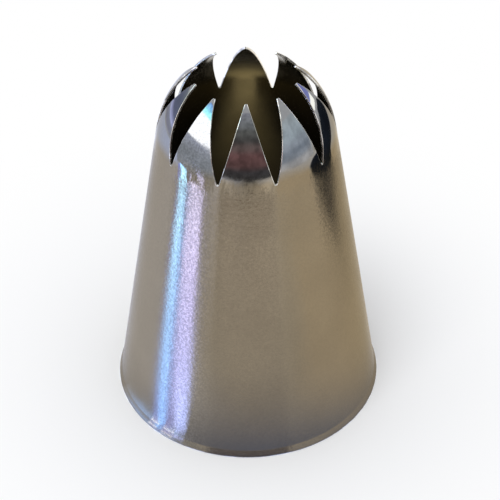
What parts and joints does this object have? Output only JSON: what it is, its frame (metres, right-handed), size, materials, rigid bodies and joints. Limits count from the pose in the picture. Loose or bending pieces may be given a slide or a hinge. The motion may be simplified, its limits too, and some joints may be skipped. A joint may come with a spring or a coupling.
{
  "type": "piping nozzle",
  "caption": "Large closed star piping nozzle: a thin stainless cone open at its base, with V-cut teeth at its top that curve in round the mouth.",
  "frame": {"origin": "centre of the base edge's circle, in the plane that the nozzle stands on", "axes": "+Z along the nozzle's axis, from the base up to the tooth tips; one tooth is centred on -Y, which faces the picture's camera; X is to the right"},
  "size_m": [0.035, 0.035, 0.0462],
  "materials": {
    "stainless_steel": "satin, fine-grained cone with a polished crown and bright cut edges"
  },
  "bodies": {
    "root": {"nozzle": "stainless_steel"}
  },
  "joints": []
}
